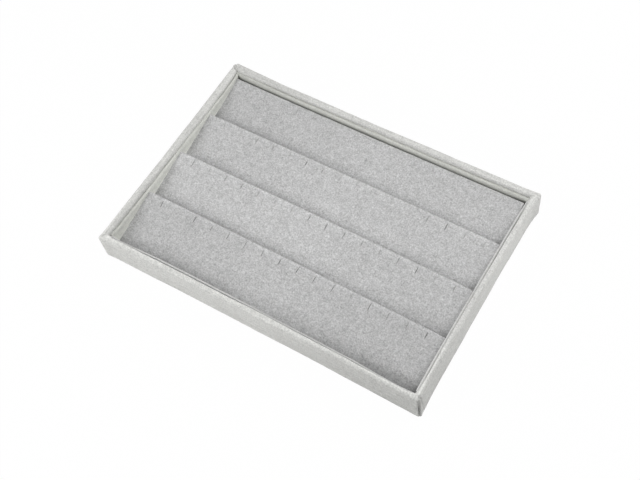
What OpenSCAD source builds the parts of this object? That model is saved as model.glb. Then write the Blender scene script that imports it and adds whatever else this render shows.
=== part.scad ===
// Jewelry display tray: a cloth-covered board tray that holds four sloped display ramps.
// All lengths are millimetres. +X runs along the long side, +Y to the back, +Z up.
// The origin is the centre of the underside, where the tray stands on a table.

/* [Tray] */
// Outside length, left to right
tray_l = 350; // [300:5:420]
// Outside width, front to back
tray_w = 241; // [215:1:300]
// Height of the rim above the table
tray_h = 34; // [31:0.5:45]
// Radius of the four upright outer corners
corner_r = 1.8; // [1:0.2:5]

/* [Walls] */
// Thickness of a cloth-covered wall
wall_t = 6.8; // [5:0.2:10]
// Rounding of a wall's outer top edge
wall_outer_r = 1.8; // [0.6:0.2:2.4]
// Rounding of a wall's inner top edge
wall_inner_r = 2.2; // [0.4:0.2:2.6]
// Rounding of a wall's outer bottom edge
wall_foot_r = 0.8; // [0.4:0.2:2]

/* [Liners] */
// Thickness of the covered card strips that line the walls
liner_t = 2.4; // [1.6:0.2:4]
// Depth of the liners' top edge below the rim
liner_drop = 4; // [0:0.2:6]
// Gap between a liner and the wall behind it
liner_gap = 0.3; // [0.1:0.1:0.6]

/* [Floor] */
// Thickness of the base board between the walls
base_t = 3; // [2:0.5:6]
// Thickness of the cloth-covered card on the base board
lining_t = 1; // [0.6:0.1:2]
// Thickness of the felt sheet under the tray
felt_t = 0.5; // [0.3:0.1:1.5]
// Distance from the tray's outside to the edge of the felt
felt_margin = 6; // [3:1:20]
// Corner radius of the felt sheet
felt_corner_r = 4; // [1:1:12]

/* [Ramps] */
// Thickness of the velvet-covered card that a ramp is folded from
card_t = 2.2; // [1.6:0.1:3]
// Angle of the display slope
ramp_angle = 14; // [8:0.5:17]
// Depth of the crests below the rim
crest_drop = 5.2; // [4:0.2:9]
// How much deeper the front ramp is than the others, front to back
front_ramp_extra = 5; // [0:0.5:12]
// How much shallower the rear ramp is than the middle two
rear_ramp_cut = 1.7; // [0:0.1:6]
// Gap between the rear ramp and the back liner
rear_gap = 3; // [0.5:0.1:4]
// Gap between one ramp and the next
ramp_gap = 0.8; // [0.3:0.1:2]
// Gap between the front ramp and the front liner
front_gap = 1.2; // [0.5:0.1:4]
// Gap between each end of a ramp and the side liner
end_gap = 0.4; // [0.2:0.1:2]
// Width of the tabs that glue a ramp down
tab_w = 12; // [8:1:20]

/* [Slits] */
// Length of a slit, down the slope
slit_l = 8.4; // [4:0.2:14]
// Width of a slit
slit_w = 0.6; // [0.4:0.1:1.5]
// Spacing of the slits along a ramp
slit_pitch = 19.65; // [12:0.05:30]
// Distance down the slope from the crest's fold to a slit
slit_from_fold = 0.6; // [0.4:0.1:5]
// Least distance from a ramp's end to a row of slits
slit_end_margin = 15; // [10:1:30]
// Sideways shift of the rear ramp's row
rear_row_shift = 2; // [-5:0.5:5]
// Sideways shift of the second ramp's row
second_row_shift = 4; // [-5:0.5:5]
// Sideways shift of the third ramp's row
third_row_shift = 1.5; // [-5:0.5:5]
// Sideways shift of the front ramp's row
front_row_shift = 1.5; // [-5:0.5:5]

/* [Hidden] */
$fn = 48;

// Cutters reach this far past what they cut
over = 1;
// Flats that make up a round fold
fold_steps = 10;

wall_cloth = "#c9cbc3";
ramp_velvet = "#bdbdbb";
felt_colour = "#8f8f8c";
board_colour = "#b79a72";

// Heights of the floor's layers, the liners and the crests
floor_z = felt_t + base_t + lining_t;
wall_h = tray_h - felt_t;
liner_h = tray_h - liner_drop - floor_z;
crest_z = tray_h - crest_drop;

// Room between the walls, and between the liners
inner_l = tray_l - 2 * wall_t;
inner_w = tray_w - 2 * wall_t;
lined_l = inner_l - 2 * (liner_gap + liner_t);
lined_w = inner_w - 2 * (liner_gap + liner_t);

// The ramps share the lined width
ramp_l = lined_l - 2 * end_gap;
ramp_room = lined_w - rear_gap - 3 * ramp_gap - front_gap;
ramp_depth = (ramp_room - front_ramp_extra + rear_ramp_cut) / 4;
front_depth = ramp_depth + front_ramp_extra;
rear_depth = ramp_depth - rear_ramp_cut;
rear_y = lined_w / 2 - rear_gap;
second_y = rear_y - rear_depth - ramp_gap;
third_y = second_y - ramp_depth - ramp_gap;
front_y = third_y - ramp_depth - ramp_gap;
slit_count = floor((ramp_l - 2 * slit_end_margin) / slit_pitch) + 1;

// What a rounding of radius r takes off a square corner at the origin
module corner_waste(r) {
    difference() {
        translate([-over, -over]) square(r + over);
        translate([r, r]) circle(r);
    }
}

// Section of a wall: the outer face is at x = 0, the table side at y = 0
module wall_profile() {
    difference() {
        square([wall_t, wall_h]);
        corner_waste(wall_foot_r);
        translate([0, wall_h]) mirror([0, 1]) corner_waste(wall_outer_r);
        translate([wall_t, wall_h]) rotate(180) corner_waste(wall_inner_r);
    }
}

// A wall along X with mitred ends, its outer face on y = 0 and its inside towards +Y
module wall(length) {
    mitre_reach = 4 * wall_t;
    color(wall_cloth)
    difference() {
        rotate([90, 0, 90]) linear_extrude(length, center = true) wall_profile();
        for (side = [0, 1])
            mirror([side, 0, 0])
                translate([length / 2, 0, -over]) {
                    rotate(45)
                        translate([0, -mitre_reach / 2, 0])
                            cube([mitre_reach, mitre_reach, wall_h + 2 * over]);
                    linear_extrude(wall_h + 2 * over) mirror([1, 0]) corner_waste(corner_r);
                }
    }
}

// A card strip along X with a rounded top edge, its wall side on y = 0
module liner(length) {
    edge_r = liner_t / 2;
    color(wall_cloth)
    rotate([90, 0, 90])
        linear_extrude(length, center = true) {
            square([liner_t, liner_h - edge_r]);
            translate([edge_r, liner_h - edge_r]) circle(edge_r);
        }
}

// Points of a round fold in the card, from one angle to another
function fold_arc(centre, from_angle, to_angle) =
    [for (i = [0 : fold_steps])
        let (a = from_angle + (to_angle - from_angle) * i / fold_steps)
            centre + card_t / 2 * [cos(a), sin(a)]];

// Section of a ramp: x is the distance from the riser's outer face, y the height
module ramp_profile(depth) {
    crest = [card_t / 2, crest_z - card_t / 2];
    toe = crest + (depth - card_t) * [1, -tan(ramp_angle)];
    slope_normal = 90 - ramp_angle;
    // The slope's underside meets the inner faces of the riser and the toe
    inner_crest_z = crest[1] - card_t / 2 / cos(ramp_angle) - card_t / 2 * tan(ramp_angle);
    inner_toe_z = toe[1] - card_t / 2 / cos(ramp_angle) + card_t / 2 * tan(ramp_angle);
    polygon(concat(
        [[tab_w, floor_z], [0, floor_z]],
        fold_arc(crest, 180, slope_normal),
        fold_arc(toe, slope_normal, 0),
        [[depth, floor_z], [depth - tab_w, floor_z], [depth - tab_w, floor_z + card_t],
         [depth - card_t, floor_z + card_t], [depth - card_t, inner_toe_z],
         [card_t, inner_crest_z], [card_t, floor_z + card_t], [tab_w, floor_z + card_t]]));
}

// One slit through the slope, measured from the crest's fold centre
module slit() {
    rotate([ramp_angle, 0, 0])
        translate([-slit_w / 2, -slit_from_fold - slit_l, -card_t / 2 - over])
            cube([slit_w, slit_l, card_t + 2 * over]);
}

// A folded card ramp whose riser's outer face is at the given y
module ramp(riser_y, depth, row_shift) {
    first_x = row_shift - (slit_count - 1) * slit_pitch / 2;
    color(ramp_velvet)
    difference() {
        translate([0, riser_y, 0])
            rotate([90, 0, -90]) linear_extrude(ramp_l, center = true) ramp_profile(depth);
        for (i = [0 : slit_count - 1])
            translate([first_x + i * slit_pitch, riser_y - card_t / 2, crest_z - card_t / 2])
                slit();
    }
}

module underside_felt() {
    x = tray_l / 2 - felt_margin - felt_corner_r;
    y = tray_w / 2 - felt_margin - felt_corner_r;
    color(felt_colour)
    linear_extrude(felt_t) {
        square([2 * x, 2 * (y + felt_corner_r)], center = true);
        square([2 * (x + felt_corner_r), 2 * y], center = true);
        for (sx = [-1, 1], sy = [-1, 1])
            translate([sx * x, sy * y]) circle(felt_corner_r);
    }
}

module base_board() {
    color(board_colour)
    translate([-inner_l / 2, -inner_w / 2, felt_t]) cube([inner_l, inner_w, base_t]);
}

module floor_lining() {
    color(wall_cloth)
    translate([-inner_l / 2, -inner_w / 2, felt_t + base_t]) cube([inner_l, inner_w, lining_t]);
}

module front_wall() {
    translate([0, -tray_w / 2, felt_t]) wall(tray_l);
}

module back_wall() {
    translate([0, tray_w / 2, felt_t]) rotate(180) wall(tray_l);
}

module left_wall() {
    translate([-tray_l / 2, 0, felt_t]) rotate(-90) wall(tray_w);
}

module right_wall() {
    translate([tray_l / 2, 0, felt_t]) rotate(90) wall(tray_w);
}

module front_liner() {
    translate([0, -inner_w / 2 + liner_gap, floor_z]) liner(inner_l - 2 * liner_gap);
}

module back_liner() {
    translate([0, inner_w / 2 - liner_gap, floor_z]) rotate(180) liner(inner_l - 2 * liner_gap);
}

module left_liner() {
    translate([-inner_l / 2 + liner_gap, 0, floor_z]) rotate(-90) liner(lined_w);
}

module right_liner() {
    translate([inner_l / 2 - liner_gap, 0, floor_z]) rotate(90) liner(lined_w);
}

module rear_ramp() {
    ramp(rear_y, rear_depth, rear_row_shift);
}

module second_ramp() {
    ramp(second_y, ramp_depth, second_row_shift);
}

module third_ramp() {
    ramp(third_y, ramp_depth, third_row_shift);
}

module front_ramp() {
    ramp(front_y, front_depth, front_row_shift);
}

underside_felt();
base_board();
front_wall();
back_wall();
left_wall();
right_wall();
floor_lining();
front_liner();
back_liner();
left_liner();
right_liner();
rear_ramp();
second_ramp();
third_ramp();
front_ramp();
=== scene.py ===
import math

import bpy
import numpy as np
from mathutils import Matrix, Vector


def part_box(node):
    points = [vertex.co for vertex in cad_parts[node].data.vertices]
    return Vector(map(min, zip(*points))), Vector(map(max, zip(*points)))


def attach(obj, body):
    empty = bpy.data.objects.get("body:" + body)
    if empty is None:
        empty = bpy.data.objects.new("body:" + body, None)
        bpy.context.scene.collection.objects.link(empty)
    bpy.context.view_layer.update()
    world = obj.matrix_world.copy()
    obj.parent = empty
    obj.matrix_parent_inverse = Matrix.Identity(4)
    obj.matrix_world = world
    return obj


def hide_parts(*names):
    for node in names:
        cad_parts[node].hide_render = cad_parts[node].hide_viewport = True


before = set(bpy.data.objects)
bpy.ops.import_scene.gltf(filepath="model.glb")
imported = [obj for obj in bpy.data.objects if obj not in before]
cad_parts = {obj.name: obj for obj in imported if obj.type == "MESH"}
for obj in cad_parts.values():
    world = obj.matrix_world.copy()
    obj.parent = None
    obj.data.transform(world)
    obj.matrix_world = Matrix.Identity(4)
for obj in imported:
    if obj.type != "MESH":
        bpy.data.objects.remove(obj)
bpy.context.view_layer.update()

mm = 0.001
scene = bpy.context.scene


def say(text):
    print("tray:", text)


def toLinear(red, green, blue):
    shares = [c / 255 for c in (red, green, blue)]
    return tuple(c / 12.92 if c <= 0.04045 else ((c + 0.055) / 1.055) ** 2.4 for c in shares) + (1,)


# Small helpers for node trees

def plug(tree, value, socket):
    if isinstance(value, bpy.types.NodeSocket):
        tree.links.new(value, socket)
    else:
        socket.default_value = value


def put(tree, kind, feeds=None, **settings):
    node = tree.nodes.new(kind)
    for name, value in settings.items():
        setattr(node, name, value)
    for name, value in (feeds or {}).items():
        plug(tree, value, node.inputs[name])
    return node


def calc(tree, work, *values):
    return put(tree, "ShaderNodeMath", dict(enumerate(values)), operation=work).outputs[0]


def spot(tree, x, y, z):
    return put(tree, "ShaderNodeCombineXYZ", {0: x, 1: y, 2: z}).outputs[0]


def newTree(name, kind, takes, gives):
    tree = bpy.data.node_groups.new(name, kind)
    for way, sockets in (("INPUT", takes), ("OUTPUT", gives)):
        for label, sort in sockets:
            tree.interface.new_socket(label, in_out=way, socket_type="NodeSocket" + sort)
    return tree, tree.nodes.new("NodeGroupInput").outputs, tree.nodes.new("NodeGroupOutput").inputs


# Camera, where the photograph was taken from

camera = {"place": (0.33148, -0.40951, 0.87781), "turn": (30.2589, 4.7793, 31.0055), "lens": 58.2036}


def addCamera():
    data = bpy.data.cameras.new("camera")
    data.sensor_width = 36
    data.lens = camera["lens"]
    data.clip_start = 0.01
    data.clip_end = 100
    made = bpy.data.objects.new("camera", data)
    made.location = camera["place"]
    made.rotation_euler = [math.radians(a) for a in camera["turn"]]
    scene.collection.objects.link(made)
    scene.camera = made
    scene.view_settings.view_transform = "Standard"


# Studio: an even white room, soft boxes and a white floor

studio = {
    "sky": 0.15,
    "floorWhite": 0.985,  # share of plain white that the camera sees on the floor
    "floorColour": (231, 231, 231),
    "floorHalf": 15.0,
    "floorDrop": 0.0004,
    "boxes": [
        {"name": "leftHighBox", "place": (-0.7, -0.7, 1.3), "size": 0.8, "power": 6.6},
        {"name": "leftBox", "place": (-0.85, -0.85, 0.65), "size": 0.7, "power": 9.8},
        {"name": "rightHighBox", "place": (0.7, 0.7, 1.3), "size": 0.8, "power": 9.0},
        {"name": "rightBox", "place": (0.9, 0.8, 0.65), "size": 0.7, "power": 8.4},
    ],
}


def seenDirectly(tree):
    path = put(tree, "ShaderNodeLightPath")
    either = calc(tree, "MAXIMUM", path.outputs["Is Camera Ray"], path.outputs["Is Glossy Ray"])
    return calc(tree, "MAXIMUM", either, path.outputs["Is Transmission Ray"])


def addStudio():
    world = bpy.data.worlds.new("studio")
    scene.world = world
    world.use_nodes = True
    tree = world.node_tree
    tree.nodes.clear()
    light = put(tree, "ShaderNodeBackground", {"Color": (1, 1, 1, 1), "Strength": studio["sky"]})
    white = put(tree, "ShaderNodeBackground", {"Color": (1, 1, 1, 1), "Strength": 1.0})
    seen = seenDirectly(tree)
    mixed = put(tree, "ShaderNodeMixShader", {0: seen, 1: light.outputs[0], 2: white.outputs[0]})
    put(tree, "ShaderNodeOutputWorld", {"Surface": mixed.outputs[0]})

    for box in studio["boxes"]:
        data = bpy.data.lights.new(box["name"], "AREA")
        data.shape = "SQUARE"
        data.size = box["size"]
        data.energy = box["power"]
        made = bpy.data.objects.new(box["name"], data)
        made.location = box["place"]
        away = made.location.normalized()
        made.rotation_euler = away.to_track_quat("Z", "Y").to_euler()
        scene.collection.objects.link(made)

    half, drop = studio["floorHalf"], studio["floorDrop"]
    mesh = bpy.data.meshes.new("floor")
    mesh.from_pydata([(-half, -half, -drop), (half, -half, -drop), (half, half, -drop), (-half, half, -drop)],
                     [], [(0, 1, 2, 3)])
    floor = bpy.data.objects.new("floor", mesh)
    scene.collection.objects.link(floor)
    paint = bpy.data.materials.new("floorWhite")
    paint.use_nodes = True
    tree = paint.node_tree
    tree.nodes.clear()
    dull = put(tree, "ShaderNodeBsdfDiffuse", {"Color": toLinear(*studio["floorColour"])})
    glow = put(tree, "ShaderNodeEmission", {"Color": (1, 1, 1, 1), "Strength": 1.0})
    share = calc(tree, "MULTIPLY", seenDirectly(tree), studio["floorWhite"])
    top = put(tree, "ShaderNodeMixShader", {0: share, 1: dull.outputs[0], 2: glow.outputs[0]})
    below = put(tree, "ShaderNodeBsdfTransparent")
    side = put(tree, "ShaderNodeNewGeometry").outputs["Backfacing"]
    both = put(tree, "ShaderNodeMixShader", {0: side, 1: top.outputs[0], 2: below.outputs[0]})
    put(tree, "ShaderNodeOutputMaterial", {"Surface": both.outputs[0]})
    mesh.materials.append(paint)


# Materials: one pile group for every velvet, one streak group for cloth pulled over an edge

velvetBase = {
    "layers": {"Speckle": (4.0, 0.9), "Fine": (1.0, 0.6), "Patch": (2.0, 0.5)},  # noise detail, roughness
    "fineNap": 0.5,  # how much the fine layer and the streaks add to the pile's height
    "ridgeNap": 0.6,
    "bumpStrength": 0.7,
    "roughness": 0.92,
    "specular": 0.18,
    "sheenRoughness": 0.5,
}


def makePileGroup():
    takes = [(label + ending, "Float") for label in velvetBase["layers"] for ending in (" Size", "")]
    tree, given, made = newTree("velvetPile", "ShaderNodeTree", [("Vector", "Vector")] + takes,
                                [("Shade", "Float"), ("Nap", "Float")])
    layers = {}
    for label, (detail, roughness) in velvetBase["layers"].items():
        scale = calc(tree, "DIVIDE", 1.0, given[label + " Size"])
        layers[label] = put(tree, "ShaderNodeTexNoise", {
            "Vector": given["Vector"], "Scale": scale,
            "Detail": detail, "Roughness": roughness}).outputs["Fac"]
    shade = 1.0
    for label, layer in layers.items():
        fromMean = calc(tree, "SUBTRACT", layer, 0.5)
        shade = calc(tree, "ADD", shade, calc(tree, "MULTIPLY", fromMean, given[label]))
    plug(tree, shade, made["Shade"])
    fineNap = calc(tree, "MULTIPLY", layers["Fine"], velvetBase["fineNap"])
    plug(tree, calc(tree, "ADD", layers["Speckle"], fineNap), made["Nap"])
    return tree


def makeStreakGroup():
    takes = [("Vector", "Vector"), ("Length", "Float"), ("Width", "Float"), ("Strength", "Float")]
    tree, given, made = newTree("clothStreaks", "ShaderNodeTree", takes,
                                [("Shade", "Float"), ("Ridge", "Float")])
    parts = put(tree, "ShaderNodeSeparateXYZ", {0: given["Vector"]}).outputs
    stretched = spot(tree, calc(tree, "DIVIDE", parts[0], given["Length"]),
                     calc(tree, "DIVIDE", parts[1], given["Width"]), 0.0)
    streak = put(tree, "ShaderNodeTexNoise", {"Vector": stretched, "Scale": 1.0, "Detail": 2.0,
                                              "Roughness": 0.55}).outputs["Fac"]
    fromStreak = calc(tree, "MULTIPLY", calc(tree, "SUBTRACT", streak, 0.5), given["Strength"])
    plug(tree, calc(tree, "ADD", fromStreak, 1.0), made["Shade"])
    plug(tree, streak, made["Ridge"])
    return tree


velvets = {
    "wallVelvet": {"colour": (207, 207, 204), "speckleSize": 0.0050, "speckle": 0.56,
                   "fineSize": 0.0014, "fine": 0.68, "patchSize": 0.016,
                   "patch": 0.16, "streakLength": 0.08, "streakWidth": 0.0018, "streak": 0.36,
                   "bump": 0.00022, "sheen": 0.12},
    # the liners' velvets are painted lighter than the walls' cloth, though it is one cloth, for light on
    # their faces; the near liners' copy is lighter and more neutral still
    "farLinerVelvet": {"colour": (212, 213, 207), "speckleSize": 0.0045, "speckle": 0.5,
                       "fineSize": 0.0014, "fine": 0.4, "patchSize": 0.014,
                       "patch": 0.12, "streakLength": 0.06, "streakWidth": 0.0018, "streak": 0.24,
                       "bump": 0.00018, "sheen": 0.12},
    "nearLinerVelvet": {"colour": (218, 218, 217), "speckleSize": 0.0045, "speckle": 0.4,
                        "fineSize": 0.0014, "fine": 0.4, "patchSize": 0.014,
                        "patch": 0.12, "streakLength": 0.06, "streakWidth": 0.0018, "streak": 0.12,
                        "bump": 0.00018, "sheen": 0.12},
    "rampVelvet": {"colour": (189, 189, 189), "speckleSize": 0.0045, "speckle": 0.9,
                   "fineSize": 0.0014, "fine": 1.05, "patchSize": 0.011,
                   "patch": 0.16, "bump": 0.00030, "sheen": 0.10},
    "liningVelvet": {"colour": (192, 193, 188), "speckleSize": 0.0045, "speckle": 0.8,
                     "fineSize": 0.0014, "fine": 1.0, "patchSize": 0.012,
                     "patch": 0.10, "bump": 0.00025, "sheen": 0.10},
    "underFelt": {"colour": (146, 146, 142), "speckleSize": 0.0030, "speckle": 0.8,
                  "fineSize": 0.0011, "fine": 1.0, "patchSize": 0.02,
                  "patch": 0.2, "bump": 0.00035, "sheen": 0.06},
    "boardPaper": {"colour": (186, 158, 120), "speckleSize": 0.003, "speckle": 0.2,
                   "fineSize": 0.0008, "fine": 0.2, "patchSize": 0.03,
                   "patch": 0.2, "bump": 0.00006, "sheen": 0.0},
}


def makeVelvet(name, pile, streaks):
    look = velvets[name]
    made = bpy.data.materials.new(name)
    made.use_nodes = True
    tree = made.node_tree
    tree.nodes.clear()
    spots = put(tree, "ShaderNodeTexCoord").outputs["Object"]
    nap = put(tree, "ShaderNodeGroup", {
        "Vector": spots, "Speckle Size": look["speckleSize"], "Speckle": look["speckle"],
        "Fine Size": look["fineSize"], "Fine": look["fine"],
        "Patch Size": look["patchSize"], "Patch": look["patch"]}, node_tree=pile)
    shade, height = nap.outputs["Shade"], nap.outputs["Nap"]
    if "streak" in look:
        along = put(tree, "ShaderNodeUVMap", uv_map="cloth").outputs["UV"]
        pulled = put(tree, "ShaderNodeGroup", {
            "Vector": along, "Length": look["streakLength"], "Width": look["streakWidth"],
            "Strength": look["streak"]}, node_tree=streaks)
        shade = calc(tree, "MULTIPLY", shade, pulled.outputs["Shade"])
        ridge = calc(tree, "MULTIPLY", pulled.outputs["Ridge"], velvetBase["ridgeNap"])
        height = calc(tree, "ADD", height, ridge)
    # painted light and shade: each piece's attribute lightens or darkens its colour
    paintedShading = put(tree, "ShaderNodeAttribute", attribute_name="paintedShading").outputs["Fac"]
    shade = calc(tree, "MULTIPLY", shade, calc(tree, "ADD", paintedShading, 1.0))
    tinted = put(tree, "ShaderNodeVectorMath", {0: toLinear(*look["colour"])[:3]}, operation="SCALE")
    plug(tree, shade, tinted.inputs["Scale"])
    bumps = put(tree, "ShaderNodeBump", {
        "Height": height, "Strength": velvetBase["bumpStrength"], "Distance": look["bump"]})
    skin = put(tree, "ShaderNodeBsdfPrincipled", {
        "Base Color": tinted.outputs["Vector"], "Roughness": velvetBase["roughness"],
        "Specular IOR Level": velvetBase["specular"], "Sheen Weight": look["sheen"],
        "Sheen Roughness": velvetBase["sheenRoughness"], "Normal": bumps.outputs[0]})
    put(tree, "ShaderNodeOutputMaterial", {"Surface": skin.outputs[0]})
    return made


# Meshes from grids of points

grid = {"sharpAngle": 40, "capStretch": 0.5}


def drift(points, size, seed):
    # soft random waves of about this size, the same in each run
    draw = np.random.default_rng(seed)
    total = np.zeros(points.shape[:-1])
    waves = 10
    for _ in range(waves):
        way = draw.normal(size=3)
        pace = 2 * math.pi / size * draw.uniform(0.7, 1.4) / np.linalg.norm(way)
        total += np.sin(points @ way * pace + draw.uniform(0, 2 * math.pi))
    return total / math.sqrt(waves / 2)


def ease(value, start, end):
    share = np.clip((value - start) / (end - start), 0, 1)
    return share * share * (3 - 2 * share)


def bell(value, width):
    return np.exp(-(value / width) ** 2)


def spread(length, first, last, most, grow=1.25):
    # steps along a length that are fine at both ends
    def half(step):
        out = [0.0]
        while out[-1] < length / 2:
            out.append(out[-1] + step)
            step = min(most, step * grow)
        return np.array(out)
    left, right = half(first), half(last)
    left, right = left * (length / 2 / left[-1]), right * (length / 2 / right[-1])
    return np.concatenate([left, length - right[-2::-1]]) / length


def gridPiece(name, points, along, section, material, ring, paintedShading):
    # points[column, row] in mm; rows close round the section, columns close too when ring is set
    columns, rows = points.shape[:2]
    lengths = np.linalg.norm(np.roll(section, -1, 0) - section, axis=1)
    across = np.concatenate([[0], np.cumsum(lengths)])
    spans = columns if ring else columns - 1
    faces, cloth = [], []
    for j in range(spans):
        k = (j + 1) % columns
        for i in range(rows):
            n = (i + 1) % rows
            faces.append((j * rows + i, k * rows + i, k * rows + n, j * rows + n))
            cloth += [(along[j], across[i]), (along[j + 1], across[i]),
                      (along[j + 1], across[i + 1]), (along[j], across[i + 1])]
    if not ring:
        for cap, start in ((range(rows - 1, -1, -1), 0), (range(rows), (columns - 1) * rows)):
            faces.append([start + i for i in cap])
            end = points[start // rows]
            cloth += [(end[i, 0] * grid["capStretch"], end[i, 2]) for i in cap]
    mesh = bpy.data.meshes.new(name)
    mesh.from_pydata((points.reshape(-1, 3) * mm).tolist(), [], faces)
    layer = mesh.uv_layers.new(name="cloth")
    layer.data.foreach_set("uv", (np.array(cloth, np.float32) * mm).ravel())
    setPaintedShading(mesh, paintedShading)
    mesh.materials.append(material)
    finishMesh(mesh)
    made = bpy.data.objects.new(name, mesh)
    scene.collection.objects.link(made)
    return made


# stores the painted light and shade on the mesh's points
def setPaintedShading(mesh, paintedShading):
    layer = mesh.attributes.new("paintedShading", "FLOAT", "POINT")
    layer.data.foreach_set("value", paintedShading.astype(np.float32).ravel())


def finishMesh(mesh):
    mesh.shade_smooth()
    mesh.set_sharp_from_angle(angle=math.radians(grid["sharpAngle"]))
    mesh.validate()


def place(piece, slot, *replaced):
    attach(piece, "root")
    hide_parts(*replaced)


# The velvet that wraps the four walls: one strip of cloth, its joint at the front right corner

wall = {
    "thick": 6.8,
    "cornerRadii": (3.0, 1.8, 4.0, 1.8),  # front right, back right, back left, front left
    "innerCornerRadius": 0.4,
    "outerRound": (2.0, 1.6),  # across the top, down the face
    "softRound": (2.2, 2.4),  # inner edge of the far walls
    "crispRound": (1.1, 1.3),  # inner edge of the near walls
    "footRound": 0.6,
    "rightTurnsSoft": (60, 95),  # where the inner edge changes, along the right side and the front
    "frontTurnsCrisp": (-168, -156),
    "waver": (0.09, 55.0, 0.035, 11.0),  # two heights, each with its length
    "waverSeeds": (3, 4),
    "arcSteps": 14,
    "jointSteps": 34,
    "jointStep": 0.12,
    "cornerStep": 0.3,
    "step": 2.4,
}

bands = {  # parts of the walls' section: distances in from the outer face, depths below the rim
    "faceEnds": (1.8, 3.4), "faceTilt": 0.2,
    "topStarts": (2.0, 3.4), "topDepth": 3,
    "innerStarts": (5.6, 6.7), "innerBelow": 2.3,
    "thinStarts": 2.0, "thinEnds": (-3.0, 6.0),
    "mitre": (-0.5, 0.5), "foldDepth": 8,
}

sides = {  # how far each outer face stands out from the drawing, and how far its top leans out at both ends
    "left": {"at": (-113, -94, -76, -57, -38, -19, 0, 19, 38, 57, 76, 94, 113),
             "out": (0.23, 0.22, 0.07, -0.09, -0.20, -0.22, -0.19, -0.16, -0.16, -0.08, 0.03, 0.09, 0.15),
             "lean": (0.0, 0.0)},
    "right": {"at": (-113, -94, -76, -57, -38, -19, 0, 19, 38, 57, 76, 94, 113),
              "out": (1.75, 1.05, 0.63, 0.6, 0.84, 0.44, 0.31, 0.25, 0.3, 0.38, 0.44, 0.85, 0.76),
              "lean": (-1.7, -0.2)},
    "front": {"at": (-164, -137, -110, -82, -55, -27, 0, 27, 55, 82, 110, 137, 164),
              "out": (0.91, 0.77, 0.58, 0.29, 0.24, 0.17, 0.25, 0.09, 0.02, 0.1, 0.54, 0.98, 0.96),
              "lean": (-0.3, -0.6)},
    "back": {"at": (-164, -137, -110, -82, -55, -27, 0, 27, 55, 82, 110, 137, 164),
             "out": (1.72, 1.22, 0.26, 0.43, 0.07, -0.2, -0.44, -0.24, -0.01, 0.03, 0.47, 0.33, 0.38),
             "lean": (0.0, 0.0)},
}

wallPaintedShading = {  # painted light and shade: how much lighter or darker the cloth is painted along each wall, on its outer face, its top and its inner face
    "left": {"at": (-113, -60, 0, 60, 113), "top": (-0.125, -0.08, -0.02, 0.0, 0.01),
             "inner": (-0.07, -0.04, 0.0, 0.0, 0.0)},
    "right": {"at": (-113, -90, -50, 0, 50, 113), "face": (-0.14, -0.12, -0.05, -0.02, 0.0, -0.03),
              "top": (0.17, 0.16, 0.05, 0.03, 0.03, 0.02)},
    "front": {"at": (-168, -110, 0, 110, 140, 168), "face": (-0.02, -0.02, 0.06, -0.04, -0.08, -0.09),
              "top": (0.13, 0.13, 0.05, 0.13, 0.15, 0.10)},
    "back": {"at": (-168, -110, -60, 60, 168), "top": (-0.10, -0.08, 0.0, 0.0, 0.0),
             "inner": (0.0, 0.0, 0.05, 0.05, 0.0)},
}

puffs = [  # gathered cloth at the corners: how far out in x and y, at the foot and at the top
    {"corner": (-1, -1), "foot": (0.1, 0.75), "top": (0.0, 1.45), "reach": 10.0},
    {"corner": (-1, -1), "foot": (0.5, 0.0), "top": (0.65, 0.0), "reach": 4.5},
    {"corner": (1, 1), "foot": (1.85, 1.35), "top": (1.6, 0.8), "reach": 11.5},
    {"corner": (1, 1), "foot": (0.3, 0.0), "top": (0.5, 0.15), "reach": 4.5},
    {"corner": (1, -1), "foot": (0.1, 0.0), "top": (0.1, 0.1), "reach": 10.0},
    {"corner": (-1, 1), "foot": (0.1, 0.3), "top": (0.1, 0.6), "reach": 10.0},
]

thinned = {  # how far the walls' inner faces stand out from the drawing, along each wall
    "front": {"at": (-168, -150, -110, -60, -25, 0, 25, 60, 100, 130, 150, 168),
              "out": (1.0, 2.0, 1.3, 1.2, 0.9, 0.6, 0.9, 1.2, 1.6, 2.6, 3.0, 2.2)},
    "right": {"at": (-112, -90, -60, 0, 50, 80, 95, 104, 109),
              "out": (1.4, 1.5, 0.8, 1.0, 1.35, 1.5, 1.4, 1.0, 0.1)},
    "back": {"at": (-168, -110, 0, 110, 168), "out": (-0.3, -0.42, -0.48, -0.52, -0.3)},
    "left": {"at": (-112, -100, -85, -55, -40, -10, 30, 50, 80, 95, 105, 112),
             "out": (-0.4, -0.7, -0.8, -0.9, -1.15, -1.0, -1.6, -1.9, -1.5, -1.1, -0.6, -0.2)},
}

joint = {  # where the strip's ends meet: a groove, a roll beside it and a tuck
    "top": (2.9, 31.6), "foot": (2.1, 1.0),  # the groove's place along the corner's arc, and height
    "topFade": 2.5, "over": 3.6,
    "depth": 1.7, "width": 0.5,
    "narrow": 0.75, "widens": (5, 17),
    "shallow": 0.25, "deepens": (1, 9),
    "closed": 0.9, "closes": (19, 26),
    "roll": 0.42, "rollWidth": 1.2, "rollShift": 1.9,
    "tuck": 0.45, "tuckWidth": 0.6, "tuckTop": 5.8, "tuckFoot": 8.2, "tuckStarts": (4, 12),
    # tuckShade, tuckShadeWidth: painted shade along the tuck
    "tuckShade": 0.16, "tuckShadeWidth": 1.3,
}

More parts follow.
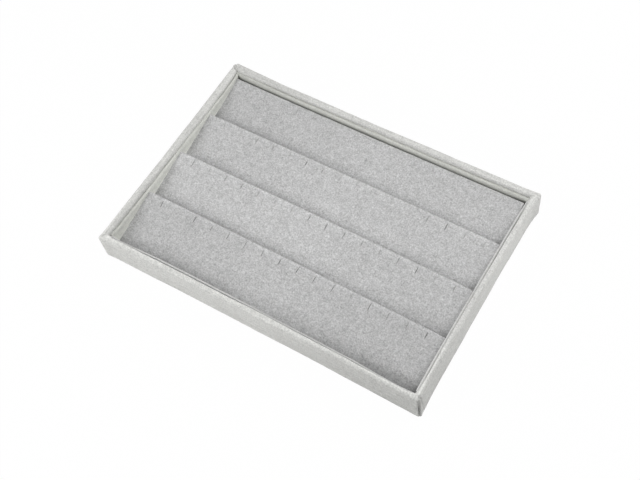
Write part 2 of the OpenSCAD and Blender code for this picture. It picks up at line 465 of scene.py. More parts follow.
pleats = {  # ridges across the top by corner, counted as in cornerRadii: shift from the mitre, height, width
    2: [(-0.1, -0.25, 0.5), (-0.2, -0.4, 1.3), (2.8, 0.5, 1.1), (1.1, 0.22, 0.5), (2.1, -0.26, 0.32),
        (-1.3, 0.18, 0.5), (3.3, 0.12, 0.6)],
    1: [(0.0, -0.12, 0.4), (1.2, 0.16, 0.5), (-1.5, 0.14, 0.5), (-2.6, -0.14, 0.35)],
    3: [(0.3, -0.08, 0.7), (2.5, 0.08, 0.9)],
}
pleatOnFace = 0.35  # share of a ridge that goes down the face
dentShading = {"at": (175.3, -118.2), "width": 1.7, "shade": 0.08, "depths": (4, 1)}  # painted shade on the rim beside the joint
creaseShading = [  # painted shade and highlight lines across the tops at the back corners: from, to, how much lighter, width
    ((-172.6, 115.4), (-168.3, 112.6), -0.4, 0.7),
    ((-174.5, 120.5), (-168.5, 114.5), 0.14, 0.8),
    ((173.3, 119.1), (171.5, 114.0), 0.07, 1.0),
]


def alongSide(table, key, at):
    return np.interp(at, table["at"], table[key]) if key in table else np.zeros_like(at)


def standOut(side, at, end, rise):
    return alongSide(sides[side], "out", at) + rise * np.interp(at, (-end, end), sides[side]["lean"])


def atLeast(least, share):
    return least + (1 - least) * share


def arcPoints(cx, cz, ax, az, start, end, count):
    turn = np.radians(np.linspace(start, end, count))
    return np.stack([cx + ax * np.cos(turn), cz + az * np.sin(turn)], 1)


def linePoints(a, b, count):
    share = np.linspace(0, 1, count + 2)[1:-1, None]
    return np.array(a) * (1 - share) + np.array(b) * share


def wallSection(low, high, inner):
    # x is the distance in from the outer face, z the height; goes up the outer face and over the top
    thick, foot = wall["thick"], wall["footRound"]
    outerX, outerZ = wall["outerRound"]
    innerX, innerZ = inner
    return np.concatenate([
        arcPoints(foot, low + foot, foot, foot, 270, 180, 5),
        linePoints((0, low + foot), (0, high - outerZ), 17),
        arcPoints(outerX, high - outerZ, outerX, outerZ, 180, 90, 13),
        linePoints((outerX, high), (thick - innerX, high), 3),
        arcPoints(thick - innerX, high - innerZ, innerX, innerZ, 90, 0, 9),
        linePoints((thick, high - innerZ), (thick, low), 9),
        [(thick, low)],
        linePoints((thick, low), (foot, low), 3),
    ])


def sectionNormals(section):
    ahead = np.roll(section, -1, 0) - np.roll(section, 1, 0)
    out = np.stack([-ahead[:, 1], ahead[:, 0]], 1)
    return out / np.linalg.norm(out, axis=1)[:, None]


def wallColumns(halfX, halfY):
    # anticlockwise from the front right corner: an arc round each corner, then the side that follows it
    radii = wall["cornerRadii"]
    fine, coarse = wall["jointStep"], wall["cornerStep"]
    columns, run = [], 0.0
    for k in range(4):
        ahead = (k + 1) % 4
        arc, nextArc = radii[k] * math.pi / 2, radii[ahead] * math.pi / 2
        length = 2 * (halfY if k % 2 == 0 else halfX) - radii[k] - radii[ahead]
        for f in np.linspace(0, 1, (wall["jointSteps"] if k == 0 else wall["arcSteps"]) + 1)[:-1]:
            columns.append({"corner": k, "round": True, "share": f, "along": run + f * arc,
                            "nearest": k, "toCorner": (f - 0.5) * arc})
        run += arc
        for f in spread(length, fine if k == 0 else coarse, fine if k == 3 else coarse, wall["step"])[:-1]:
            near = f < 0.5
            columns.append({"corner": k, "round": False, "share": f, "along": run + f * length,
                            "nearest": k if near else ahead,
                            "toCorner": arc / 2 + f * length if near else -nextArc / 2 - (1 - f) * length})
        run += length
    return columns, run


def wallPoints(columns, section, corner):
    inward = section[:, 0]
    hx, hy = corner[0] - inward, corner[1] - inward
    bends = [np.maximum(radius - inward, wall["innerCornerRadius"]) for radius in wall["cornerRadii"]]
    centres = [np.stack([sx * (hx - bend), sy * (hy - bend)], 1)
               for (sx, sy), bend in zip([(1, -1), (1, 1), (-1, 1), (-1, -1)], bends)]
    places, facing = [], []
    for column in columns:
        k, f = column["corner"], column["share"]
        turn = math.radians(90 * (k - 1)) + (f if column["round"] else 1.0) * math.pi / 2
        out = np.array([math.cos(turn), math.sin(turn)])
        here = centres[k] + bends[k][:, None] * out
        if not column["round"]:
            ahead = (k + 1) % 4
            here = here * (1 - f) + (centres[ahead] + bends[ahead][:, None] * out) * f
        places.append(here)
        facing.append(out)
    heights = np.broadcast_to(section[:, 1], (len(columns), len(section)))
    return np.concatenate([np.array(places), heights[..., None]], 2), np.array(facing)


def crispness(columns, points):
    # the near walls' inner edges are crisp, the far walls' soft
    def share(column, x, y):
        if column["corner"] == 0:
            return 1.0 if column["round"] else 1 - ease(y, *wall["rightTurnsSoft"])
        if column["corner"] == 3 and not column["round"]:
            return ease(x, *wall["frontTurnsCrisp"])
        return 0.0
    return np.array([share(c, p[0], p[1]) for c, p in zip(columns, points[:, 0])])[:, None, None]


def addPleats(push, toCorner, nearest, topShare):
    reach = atLeast(pleatOnFace, topShare)
    for corner, ridges in pleats.items():
        here = (nearest == corner)[:, None]
        for shift, height, width in ridges:
            push = push + here * height * bell(toCorner[:, None] - shift, width) * reach
    return push


def addJoint(push, points, section, lean, toCorner, nearest):
    heights = points[..., 2]
    along = toCorner[:, None] + wall["cornerRadii"][0] * math.pi / 4
    (footAt, foot), (topAt, top) = joint["foot"], joint["top"]
    share = np.clip((heights - foot) / (top - foot), 0, 1)
    fromGroove = along - (footAt * (1 - share) + topAt * share)
    fromTuck = along - (joint["tuckFoot"] * (1 - share) + joint["tuckTop"] * share)
    outer = (nearest == 0)[:, None] * (lean[:, 0] < bands["faceTilt"]) * (section[:, 0] < joint["over"])
    lower = 1 - ease(heights, top - joint["topFade"], top)
    gape = atLeast(joint["narrow"], ease(heights, *joint["widens"]))
    parted = 1 - joint["closed"] * ease(heights, *joint["closes"])
    deep = atLeast(joint["shallow"], ease(heights, *joint["deepens"]))
    depth = joint["depth"] * lower * parted * gape * deep
    push = push - outer * depth * bell(fromGroove, joint["width"] * gape)
    push = push + outer * joint["roll"] * lower * bell(fromGroove - joint["rollShift"], joint["rollWidth"])
    tucked = ease(heights, *joint["tuckStarts"])
    push = push - outer * joint["tuck"] * tucked * bell(fromTuck, joint["tuckWidth"])
    # the tuck's shade is painted shade
    return push, -joint["tuckShade"] * outer * tucked * bell(fromTuck, joint["tuckShadeWidth"])


# painted shade in a spot beside the joint, and painted shade and highlight lines along the back corners'
# pleats
def addCreaseShading(shade, points, high, topShare):
    start, full = dentShading["depths"]
    fromDent = np.hypot(points[..., 0] - dentShading["at"][0], points[..., 1] - dentShading["at"][1])
    depth = ease(points[..., 2], high - start, high - full)
    shade = shade - dentShading["shade"] * bell(fromDent, dentShading["width"]) * depth
    for start, end, light, width in creaseShading:
        away = points[..., :2] - start
        way = np.subtract(end, start)
        part = np.clip(away @ way / (way @ way), 0, 1)[..., None]
        shade = shade + light * topShare * bell(np.linalg.norm(away - part * way, axis=-1), width)
    return shade


def settle(points, drawn, shade, section, lean, corner, low, high):
    # the walls' unevenness along their length, the gathered corners, and the painted light and shade along
    # each wall
    thick = wall["thick"]
    inward, heights = section.T
    parts = {"face": (1 - ease(inward, *bands["faceEnds"])) * (lean[:, 0] < bands["faceTilt"]),
             "top": ease(inward, *bands["topStarts"]) * (heights > high - bands["topDepth"]),
             "inner": ease(inward, *bands["innerStarts"]) * (heights < high - bands["innerBelow"])}
    rise = (points[..., 2] - low) / (high - low)
    moved = points.copy()
    for side, axis, sign in (("left", 0, -1), ("right", 0, 1), ("front", 1, -1), ("back", 1, 1)):
        at, end = points[..., 1 - axis], corner[1 - axis]
        atSide = ease(points[..., axis] * sign, corner[axis] - thick, corner[axis] - 1)
        moved[..., axis] += sign * atSide * standOut(side, at, end, rise)
        atWall = points[..., axis] * sign > corner[axis] - 1.5 * thick
        atWall = atWall * ease(end - thick - np.abs(at), *bands["thinEnds"])
        inner = ease(inward, bands["thinStarts"], thick)
        moved[..., axis] += sign * atWall * inner * alongSide(thinned[side], "out", at)
        pastMitre = (corner[axis] - drawn[..., axis] * sign) - (end - np.abs(drawn[..., 1 - axis]))
        mine = 1 - ease(pastMitre, *bands["mitre"])
        # painted light and shade on this wall's face, top and inner face
        for key, part in parts.items():
            shade = shade + mine * part * alongSide(wallPaintedShading[side], key, at)
    for puff in puffs:
        sx, sy = puff["corner"]
        near = bell(np.hypot(corner[0] - sx * points[..., 0], corner[1] - sy * points[..., 1]), puff["reach"])
        for axis, sign in enumerate(puff["corner"]):
            moved[..., axis] += sign * near * (puff["foot"][axis] * (1 - rise) + puff["top"][axis] * rise)
    moved[..., 2] = np.maximum(moved[..., 2], low)
    return moved, shade


def makeWallCover(material):
    low = min(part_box(n)[0].z for n in ("front_wall", "left_wall")) / mm
    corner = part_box("right_wall")[1].x / mm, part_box("back_wall")[1].y / mm
    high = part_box("front_wall")[1].z / mm
    columns, total = wallColumns(*corner)
    along, toCorner, nearest = (np.array([column[key] for column in columns])
                                for key in ("along", "toCorner", "nearest"))
    section = wallSection(low, high, wall["softRound"])
    lean = sectionNormals(section)
    softPoints, facing = wallPoints(columns, section, corner)
    crispPoints = wallPoints(columns, wallSection(low, high, wall["crispRound"]), corner)[0]
    crisp = crispness(columns, softPoints)
    drawn = softPoints * (1 - crisp) + crispPoints * crisp
    outward = np.zeros_like(drawn)
    outward[..., :2] = facing[:, None, :] * -lean[None, :, :1]
    outward[..., 2] = lean[None, :, 1]

    big, bigSize, small, smallSize = wall["waver"]
    bigSeed, smallSeed = wall["waverSeeds"]
    push = big * drift(drawn, bigSize, bigSeed) + small * drift(drawn, smallSize, smallSeed)
    topShare = ease(drawn[..., 2], high - bands["foldDepth"], high)
    push = addPleats(push, toCorner, nearest, topShare)
    push, shade = addJoint(push, drawn, section, lean, toCorner, nearest)
    shade = addCreaseShading(shade, drawn, high, topShare)
    folded = drawn + outward * push[..., None]
    moved, shade = settle(folded, drawn, shade, section, lean, corner, low, high)

    made = gridPiece("wallCover", moved, np.append(along, total), section, material, True, shade)
    place(made, "wall_velvet", "front_wall", "back_wall", "left_wall", "right_wall")
    say(f"wall cover has {len(made.data.polygons)} faces")


# The four covered card strips inside the walls

liner = {
    "step": 3.0,
    "sway": (0.11, 70.0, 0.03, 14.0),  # two widths, each with its length
    "rise": (0.10, 45.0),
    "sunk": 0.6,
    # footTop, footFade: where the painted shade at the liners' feet starts and how soft it is
    "footTop": 28.6, "footFade": 1.5,
    "clothShift": 40,  # keeps the strips' streaks apart
}

linerShapes = {
    # thin: how much thinner than drawn; longer: how far past its low and high end; edges: rounding on the
    # wall's side, and on the tray's side across and down; out, up, light: how far its top leans out and
    # stands up and how much painted light or shade it has at these places; byHeight, foot: painted light
    # and shade by height, and painted shade by place at its foot
    "front_liner": {
        "velvet": "nearLinerVelvet", "seed": 20, "thin": 0.3, "edges": (0.8, 1.1, 1.1),
        "at": (-168, -152, -142, -110, -90, 0, 50, 100, 130, 142, 150, 168),
        "out": (1.2, 1.7, 1.5, 0.2, 0.0, 0.1, 0.8, 0.9, 2.3, 2.4, 2.3, 1.7),
        "up": (0.0, 0.0, 0.0, 0.0, 0.0, 0.0, 0.0, 0.0, 0.0, -0.3, -1.5, -1.5),
        "light": (-0.05, -0.05, -0.03, 0.0, -0.02, -0.10, -0.14, -0.14, -0.14, -0.14, -0.10, -0.10)},
    "back_liner": {
        "velvet": "farLinerVelvet", "seed": 25, "thin": -0.25, "longer": (0.0, 1.4), "edges": (0.4, 1.9, 2.0),
        "at": (-168, -150, -110, 0, 120, 150, 168),
        "out": (-0.2, -0.5, -0.7, -0.7, -0.7, -0.5, -0.2),
        "up": (2.4, 2.0, 0.9, 0.7, 0.9, 1.2, 1.4),
        "light": (-0.23, -0.22, -0.18, -0.06, -0.07, -0.08, -0.08),
        "byHeight": ((25.0, 26.0, 27.2, 29.0, 30.0, 31.0), (-0.05, 0.02, 0.16, 0.16, 0.08, 0.0)),
        "foot": ((-168, -155, -140, 148, 158, 168), (-0.25, -0.15, 0.0, 0.0, -0.3, -0.5))},
    "left_liner": {
        "velvet": "farLinerVelvet", "seed": 30, "thin": -0.25, "longer": (1.4, 0.0), "edges": (0.4, 1.9, 2.0),
        "at": (-112, -106, -98, -50, 0, 50, 85, 104, 112),
        "out": (0.5, -0.2, -1.0, -1.1, -1.2, -1.6, -2.0, -1.3, -0.6),
        "up": (1.3, 1.1, 1.0, 1.0, 1.0, 1.0, 1.0, 1.2, 1.8),
        "light": (-0.08, -0.07, -0.05, 0.04, 0.05, -0.01, -0.06, -0.06, -0.06),
        "byHeight": ((12.0, 20.0, 26.0, 29.0, 31.0), (0.14, 0.11, 0.04, 0.0, -0.02))},
    "right_liner": {
        "velvet": "nearLinerVelvet", "seed": 35, "thin": 0.1, "edges": (0.6, 1.1, 1.1),
        "at": (-112, -100, -85, 0, 50, 90, 112),
        "out": (1.3, 1.1, 0.7, 0.8, 0.8, 1.1, 2.1)},
}


def linerSection(thick, low, high, outer, across, down):
    return np.concatenate([
        linePoints((0, low), (0, high - outer), 9),
        arcPoints(outer, high - outer, outer, outer, 180, 90, 6),
        arcPoints(thick - across, high - down, across, down, 90, 0, 10),
        linePoints((thick, high - down), (thick, low), 9),
        [(thick, low)],
        linePoints((thick, low), (0, low), 1),
        [(0, low)],
    ])


def makeLiner(node, shape, material):
    seed = shape["seed"]
    low, high = (np.array(c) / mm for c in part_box(node))
    axis = 0 if high[0] - low[0] > high[1] - low[1] else 1
    side = 1 - axis
    outerSign = np.sign(low[side] + high[side])
    thick = high[side] - low[side] - shape["thin"]
    section = linerSection(thick, low[2], high[2], *shape["edges"])
    count = int((high[axis] - low[axis]) / liner["step"]) + 1
    before, after = shape.get("longer", (0.0, 0.0))
    run = np.linspace(low[axis] - before, high[axis] + after, count)
    points = np.zeros((count, len(section), 3))
    points[..., axis] = run[:, None]
    outerFace = outerSign * (max(abs(low[side]), abs(high[side])) - shape["thin"])
    points[..., side] = outerFace - outerSign * section[None, :, 0]
    points[..., 2] = section[None, :, 1]

    at = points[..., axis]
    share = (points[..., 2] - low[2]) / (high[2] - low[2])
    line = np.stack([at, np.zeros_like(share), np.zeros_like(share)], 2)
    big, bigSize, small, smallSize = liner["sway"]
    rise, riseSize = liner["rise"]
    points[..., side] += share * (big * drift(line, bigSize, seed) + small * drift(line, smallSize, seed + 1))
    points[..., 2] += share * rise * (drift(line, riseSize, seed + 2) - liner["sunk"])
    points[..., side] += outerSign * share * alongSide(shape, "out", at)
    points[..., 2] += share * alongSide(shape, "up", at)
    # painted light and shade on the liner: along it, by height and at its foot
    paintedShading = alongSide(shape, "light", at)
    if "byHeight" in shape:
        paintedShading += np.interp(points[..., 2], *shape["byHeight"])
    if "foot" in shape:
        belowTop = np.clip((liner["footTop"] - points[..., 2]) / liner["footFade"], 0, 1)
        paintedShading += np.interp(at, *shape["foot"]) * belowTop
    if (axis == 0) != (outerSign < 0):
        points, paintedShading = points[::-1], paintedShading[::-1]
    name = node.split("_")[0] + "Liner"
    made = gridPiece(name, points, run + seed * liner["clothShift"], section, material, False, paintedShading)
    place(made, "lining_velvet", node)


# The four folded card ramps, each with a row of slits

ramp = {
    "card": 2.2,
    "angle": 14.0,
    "tab": 12.0,
    "columnStep": 2.8,
    "rowStep": 2.8,
    "unevenness": 0.16,
    "unevenSize": 45.0,
    "slitPitch": 19.65,
    "slitLength": 8.4,
    "slitStart": 0.6,
    "slitTurns": (-0.05, 0.05),  # in radians
    "slitSlides": (-0.0004, 0.0004),  # in metres
    "slitStretches": (0.86, 1.04),
    "lipHeight": 0.07,
    "lipWidth": 1.2,
    "lipLonger": 1.12,
    "reachPower": 8.0,  # how sharply the right end leans out
}

rampRows = [
    # slitShift: how far right the slits stand; back: how far back its left end, middle and right end stand;
    # reach: how far its right end leans out; slope, crest, leftEnd, rightEnd, toe: how much painted light or
    # shade it has at these places; toeReach: where the toe's painted shade starts and is full; gape: the
    # slits' widths
    {"node": "rear_ramp", "seed": 11, "slitShift": 2.1, "back": (0.35, -0.65, 0.0), "reach": 1.2,
     "slope": (-0.076, 0.0, -0.012), "crest": -0.02, "leftEnd": 0.24, "rightEnd": 0.0,
     "toe": (0.03, 0.03, 0.03, 0.03, 0.03, 0.03, 0.03, 0.03, 0.03), "toeReach": (24, 15),
     "gape": (0.20, 0.26, 0.18, 0.34, 0.18, 0.08, 0.12, 0.08,
              0.12, 0.14, 0.26, 0.28, 0.20, 0.10, 0.08, 0.08)},
    {"node": "second_ramp", "seed": 22, "slitShift": 4.9, "back": (0.2, 0.3, 0.0), "reach": 1.0,
     "slope": (-0.035, 0.025, 0.015), "crest": 0.08, "leftEnd": 0.08, "rightEnd": -0.06,
     "toe": (0.07, 0.07, 0.07, 0.07, 0.07, 0.07, 0.04, 0.03, 0.03), "toeReach": (24, 15),
     "gape": (0.26, 0.40, 0.57, 0.51, 0.47, 0.61, 0.50, 0.31,
              0.26, 0.20, 0.20, 0.29, 0.57, 0.69, 0.36, 0.23)},
    {"node": "third_ramp", "seed": 33, "slitShift": 2.0, "back": (0.6, 0.15, -1.2), "reach": 0.8,
     "slope": (0.01, 0.055, -0.015), "crest": 0.08, "leftEnd": 0.22, "rightEnd": -0.08,
     "toe": (0.03, 0.03, 0.04, 0.04, 0.04, 0.03, 0.01, 0.0, 0.0), "toeReach": (24, 15),
     "gape": (0.59, 0.31, 0.46, 0.56, 0.66, 0.31, 0.41, 0.81,
              0.67, 0.62, 0.40, 0.36, 0.55, 0.69, 0.29, 0.44)},
    {"node": "front_ramp", "seed": 44, "slitShift": 2.2, "back": (-0.3, -0.4, -1.4), "reach": 0.8,
     "slope": (-0.09, -0.02, -0.08), "crest": 0.11, "leftEnd": 0.27, "rightEnd": -0.07,
     "toe": (-0.07, -0.08, -0.02, -0.01, 0.13, -0.01, -0.13, -0.25, -0.12), "toeReach": (13, 5),
     "gape": (0.60, 0.23, 0.89, 0.49, 0.75, 0.58, 0.54, 0.74,
              0.69, 0.55, 0.66, 0.36, 0.57, 0.49, 0.43, 0.65)},
]

rampPaintedShading = {  # where the ramps' painted light and shade begin and how soft they are
    "slopeAt": (-110, 0, 110),
    "toeAt": (-165, -150, -100, -50, 0, 50, 100, 130, 165),
    "crestBand": 0.9,
    "leftWidth": 5.5, "leftBelow": 1.5,
    "leftStart": 0.8, "leftFade": 4, "leftLeast": -1.3,
    "rightWidth": 6.0, "rightPast": 1,
}


def makeRampTree():
    lengths = ["Length", "Depth", "Card", "Tab", "Crest Height", "Floor Height", "Riser Y", "Left Back",
               "Middle Back", "Right Back", "Right Reach", "Column Step", "Row Step", "Unevenness",
               "Uneven Size", "Slit Pitch", "Row Shift", "Slit Length", "Slit Start", "Lip Height",
               "Lip Width"]
    takes = [("Geometry", "Geometry")] + [(label, "Float") for label in lengths]
    takes += [("Angle", "Float"), ("Slit Count", "Int"), ("Seed", "Int"), ("Velvet", "Material")]
    tree, given, made = newTree("foldedRamp", "GeometryNodeTree", takes, [("Geometry", "Geometry")])

    def add(a, b): return calc(tree, "ADD", a, b)
    def less(a, b): return calc(tree, "SUBTRACT", a, b)
    def times(a, b): return calc(tree, "MULTIPLY", a, b)
    def over(a, b): return calc(tree, "DIVIDE", a, b)

    card, depth, tab, ground = given["Card"], given["Depth"], given["Tab"], given["Floor Height"]
    half = times(card, 0.5)
    fall, shrink = calc(tree, "TANGENT", given["Angle"]), calc(tree, "COSINE", given["Angle"])
    centre = less(given["Crest Height"], half)
    thickUp, tilt = over(half, shrink), times(half, fall)
    topAtRiser = add(add(centre, thickUp), tilt)
    topAtToe = less(topAtRiser, times(fall, depth))
    underAtRiser = less(less(centre, thickUp), tilt)
    underAtToe = less(underAtRiser, times(fall, less(depth, times(card, 2.0))))
    tabTop = add(ground, card)
    farTab, farInner = less(depth, tab), less(depth, card)
    corners = [(tab, ground), (0.0, ground), (0.0, topAtRiser), (depth, topAtToe), (depth, ground),
               (farTab, ground), (farTab, tabTop), (farInner, tabTop), (farInner, underAtToe),
               (card, underAtRiser), (card, tabTop), (tab, tabTop)]

    # the section as a closed line, its two folds rounded, its long sides divided
    pick = put(tree, "GeometryNodeIndexSwitch", data_type="VECTOR")
    while len(pick.index_switch_items) < len(corners):
        pick.index_switch_items.new()
    index = put(tree, "GeometryNodeInputIndex").outputs[0]
    plug(tree, index, pick.inputs[0])
    for i, (u, z) in enumerate(corners):
        plug(tree, spot(tree, less(u, given["Riser Y"]), times(z, -1.0), 0.0), pick.inputs[i + 1])
    dots = put(tree, "GeometryNodeMeshLine", {"Count": len(corners)})
    placed = put(tree, "GeometryNodeSetPosition", {0: dots.outputs[0], "Position": pick.outputs[0]})
    path = put(tree, "GeometryNodeMeshToCurve", {0: placed.outputs[0]})
    closed = put(tree, "GeometryNodeSetSplineCyclic", {0: path.outputs[0], "Cyclic": True})
    isFold = put(tree, "ShaderNodeMath", {0: index, 1: 2.5, 2: 0.6}, operation="COMPARE").outputs[0]
    folded = put(tree, "GeometryNodeFilletCurve", {0: closed.outputs[0], "Count": 8,
                                                   "Radius": times(isFold, half)}, mode="POLY")
    reach = put(tree, "GeometryNodeSplineParameter").outputs["Length"]
    onward = put(tree, "GeometryNodeFieldAtIndex", {"Index": add(index, 1.0), "Value": reach},
                 data_type="FLOAT", domain="POINT").outputs[0]
    cuts = calc(tree, "MAXIMUM", calc(tree, "FLOOR", over(less(onward, reach), given["Row Step"])), 0.0)
    section = put(tree, "GeometryNodeSubdivideCurve", {0: folded.outputs[0], "Cuts": cuts})

    # swept along the ramp
    halfLength = times(given["Length"], 0.5)
    line = put(tree, "GeometryNodeCurvePrimitiveLine", {
        "Start": spot(tree, times(halfLength, -1.0), 0.0, 0.0), "End": spot(tree, halfLength, 0.0, 0.0)})
    steps = put(tree, "GeometryNodeResampleCurve", {
        0: line.outputs[0], "Count": over(given["Length"], given["Column Step"])}, mode="COUNT")
    swept = put(tree, "GeometryNodeCurveToMesh", {
        "Curve": steps.outputs[0], "Profile Curve": section.outputs[0], "Fill Caps": True})

    # the slits' places on the slope
    tray = times(less(given["Slit Count"], 1.0), times(given["Slit Pitch"], 0.5))
    down = add(given["Slit Start"], times(given["Slit Length"], 0.5))
    rowY = less(less(given["Riser Y"], half), times(down, shrink))
    rowZ = less(centre, times(down, calc(tree, "SINE", given["Angle"])))
    row = put(tree, "GeometryNodeMeshLine", {
        "Count": given["Slit Count"],
        "Start Location": spot(tree, less(given["Row Shift"], tray), rowY, rowZ),
        "Offset": spot(tree, given["Slit Pitch"], 0.0, 0.0)})

    def anyOf(least, most, step):
        seed = add(given["Seed"], float(step))
        node = put(tree, "FunctionNodeRandomValue", {"Seed": seed}, data_type="FLOAT")
        node.inputs[2].default_value, node.inputs[3].default_value = least, most
        return node.outputs[1]

    # the incoming points carry how far each slit gapes
    gape = put(tree, "GeometryNodeInputNamedAttribute", {"Name": "gape"}, data_type="FLOAT").outputs[0]
    width = put(tree, "GeometryNodeSampleIndex", {
        "Geometry": given["Geometry"], "Value": gape, "Index": index},
        data_type="FLOAT", domain="POINT").outputs[0]
    turn = spot(tree, given["Angle"], 0.0, anyOf(*ramp["slitTurns"], 1))
    lift = put(tree, "GeometryNodeSetPosition", {
        0: row.outputs[0], "Offset": spot(tree, anyOf(*ramp["slitSlides"], 2), 0.0, 0.0)})
    length = times(given["Slit Length"], anyOf(*ramp["slitStretches"], 4))
    lens = put(tree, "GeometryNodeMeshCylinder", {"Vertices": 16, "Radius": 0.5, "Depth": 1.0})
    slits = put(tree, "GeometryNodeInstanceOnPoints", {
        "Points": lift.outputs[0], "Instance": lens.outputs[0], "Rotation": turn,
        "Scale": spot(tree, width, length, times(card, 2.0))})
    dome = put(tree, "GeometryNodeMeshUVSphere", {"Segments": 20, "Rings": 10, "Radius": 0.5})
    lipRow = put(tree, "GeometryNodeSetPosition", {0: lift.outputs[0], "Offset": spot(
        tree, 0.0, times(times(half, calc(tree, "SINE", given["Angle"])), -1.0), times(half, shrink))})
    lips = put(tree, "GeometryNodeInstanceOnPoints", {
        "Points": lipRow.outputs[0], "Instance": dome.outputs[0], "Rotation": turn,
        "Scale": spot(tree, given["Lip Width"], times(length, ramp["lipLonger"]),
                      times(given["Lip Height"], 2.0))})
    realLips = put(tree, "GeometryNodeRealizeInstances", {0: lips.outputs[0]})
    realSlits = put(tree, "GeometryNodeRealizeInstances", {0: slits.outputs[0]})
    puckered = put(tree, "GeometryNodeMeshBoolean", operation="UNION", solver="EXACT")
    plug(tree, swept.outputs[0], puckered.inputs["Mesh 2"])
    plug(tree, realLips.outputs[0], puckered.inputs["Mesh 2"])
    cut = put(tree, "GeometryNodeMeshBoolean", {
        "Mesh 1": puckered.outputs[0], "Mesh 2": realSlits.outputs[0]},
        operation="DIFFERENCE", solver="EXACT")

    # the card isn't quite flat, and the ramps stand a little bowed or askew
    here = put(tree, "GeometryNodeInputPosition").outputs[0]
    parts = put(tree, "ShaderNodeSeparateXYZ", {0: here}).outputs
    above = over(less(parts[2], ground), less(given["Crest Height"], ground))
    wave = put(tree, "ShaderNodeTexNoise", {
        "Vector": here, "W": given["Seed"], "Scale": over(1.0, given["Uneven Size"]), "Detail": 1.0},
        noise_dimensions="4D").outputs[0]
    bend = times(times(less(wave, 0.5), times(given["Unevenness"], 4.0)), above)
    across = over(parts[0], halfLength)
    square = times(across, across)
    atLeft = times(times(less(square, across), 0.5), given["Left Back"])
    atRight = times(times(add(square, across), 0.5), given["Right Back"])
    askew = add(add(atLeft, atRight), times(less(1.0, square), given["Middle Back"]))
    rightward = calc(tree, "MAXIMUM", across, 0.0)
    nearRight = times(calc(tree, "POWER", rightward, ramp["reachPower"]), above)
    settled = put(tree, "GeometryNodeSetPosition", {0: cut.outputs[0], "Offset": spot(
        tree, times(nearRight, given["Right Reach"]), askew, bend)})

    whole = put(tree, "GeometryNodeRealizeInstances", {0: settled.outputs[0]})
    coated = put(tree, "GeometryNodeSetMaterial", {0: whole.outputs[0], "Material": given["Velvet"]})
    plug(tree, coated.outputs[0], made[0])
    return tree


def paintRampShading(mesh, row, low, high):
    # painted light and shade: where the velvet is painted lighter or darker than the rest
    spots = np.empty(3 * len(mesh.vertices), np.float32)
    mesh.vertices.foreach_get("co", spots)
    x, y, z = spots.reshape(-1, 3).T / mm
    crest, band = high.z / mm, rampPaintedShading["crestBand"]
    fromLeft, fromToe = x - low.x / mm, y - low.y / mm
    far, near = row["toeReach"]
    onCrest = np.clip((z - crest + band) / band, 0, 1)
    paintedShading = np.interp(x, rampPaintedShading["slopeAt"], row["slope"]) + row["crest"] * onCrest
    paintedShading += np.interp(x, rampPaintedShading["toeAt"], row["toe"]) * np.clip((far - fromToe) / (far - near), 0, 1)
    paintedShading += row["rightEnd"] * bell(high.x / mm + rampPaintedShading["rightPast"] - x, rampPaintedShading["rightWidth"])
    upSlope = np.clip((fromToe - rampPaintedShading["leftStart"] * near) / rampPaintedShading["leftFade"], rampPaintedShading["leftLeast"], 1)
    paintedShading += row["leftEnd"] * bell(fromLeft, rampPaintedShading["leftWidth"]) * upSlope * (z < crest - rampPaintedShading["leftBelow"])
    setPaintedShading(mesh, paintedShading)


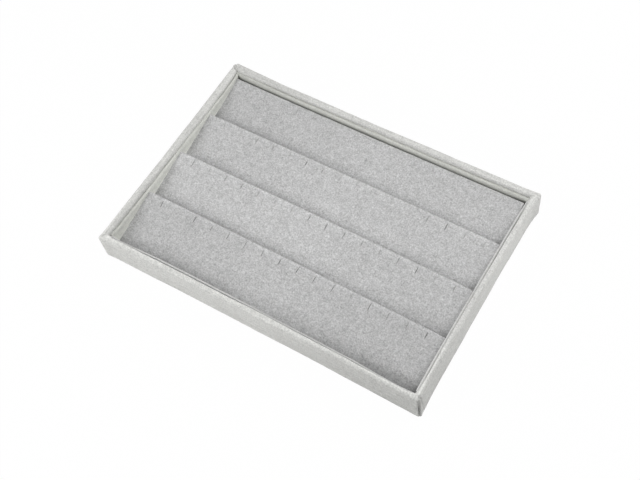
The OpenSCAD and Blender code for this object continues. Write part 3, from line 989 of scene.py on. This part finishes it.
def makeRamps(material):
    tree = makeRampTree()
    keys = {s.name: s.identifier for s in tree.interface.items_tree if s.in_out == "INPUT"}
    for row in rampRows:
        low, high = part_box(row["node"])
        name = row["node"].split("_")[0] + "Ramp"
        dots = bpy.data.meshes.new(name + "Maker")
        dots.vertices.add(len(row["gape"]))
        gape = dots.attributes.new("gape", "FLOAT", "POINT")
        gape.data.foreach_set("value", [width * mm for width in row["gape"]])
        maker = bpy.data.objects.new(name + "Maker", dots)
        scene.collection.objects.link(maker)
        modifier = maker.modifiers.new("fold", "NODES")
        modifier.node_group = tree
        atLeft, atMiddle, atRight = row["back"]
        sizes = {
            "Length": high.x - low.x, "Depth": high.y - low.y,
            "Card": ramp["card"] * mm, "Tab": ramp["tab"] * mm,
            "Crest Height": high.z, "Floor Height": low.z, "Riser Y": high.y,
            "Left Back": atLeft * mm, "Middle Back": atMiddle * mm, "Right Back": atRight * mm,
            "Right Reach": row["reach"] * mm,
            "Column Step": ramp["columnStep"] * mm, "Row Step": ramp["rowStep"] * mm,
            "Unevenness": ramp["unevenness"] * mm, "Uneven Size": ramp["unevenSize"] * mm,
            "Slit Pitch": ramp["slitPitch"] * mm, "Row Shift": row["slitShift"] * mm,
            "Slit Length": ramp["slitLength"] * mm, "Slit Start": ramp["slitStart"] * mm,
            "Lip Height": ramp["lipHeight"] * mm, "Lip Width": ramp["lipWidth"] * mm,
            "Angle": math.radians(ramp["angle"]), "Slit Count": len(row["gape"]), "Seed": row["seed"],
            "Velvet": material}
        for label, value in sizes.items():
            modifier[keys[label]] = value
        bpy.context.view_layer.update()
        shaped = maker.evaluated_get(bpy.context.evaluated_depsgraph_get())
        mesh = bpy.data.meshes.new_from_object(shaped)
        mesh.name = name
        bpy.data.objects.remove(maker)
        paintRampShading(mesh, row, low, high)
        finishMesh(mesh)
        made = bpy.data.objects.new(name, mesh)
        scene.collection.objects.link(made)
        place(made, "ramp_velvet", row["node"])
        say(f"{name} has {len(mesh.polygons)} faces")


def dress(node, material):
    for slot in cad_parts[node].material_slots:
        slot.material = material


def build():
    addCamera()
    addStudio()
    say("camera and studio are up")
    pile, streaks = makePileGroup(), makeStreakGroup()
    skins = {name: makeVelvet(name, pile, streaks) for name in velvets}
    makeWallCover(skins["wallVelvet"])
    for node, shape in linerShapes.items():
        makeLiner(node, shape, skins[shape["velvet"]])
    say("liners stand")
    makeRamps(skins["rampVelvet"])
    dress("floor_lining", skins["liningVelvet"])
    dress("base_board", skins["boardPaper"])
    dress("underside_felt", skins["underFelt"])
    say("hidden layers are dressed")


build()
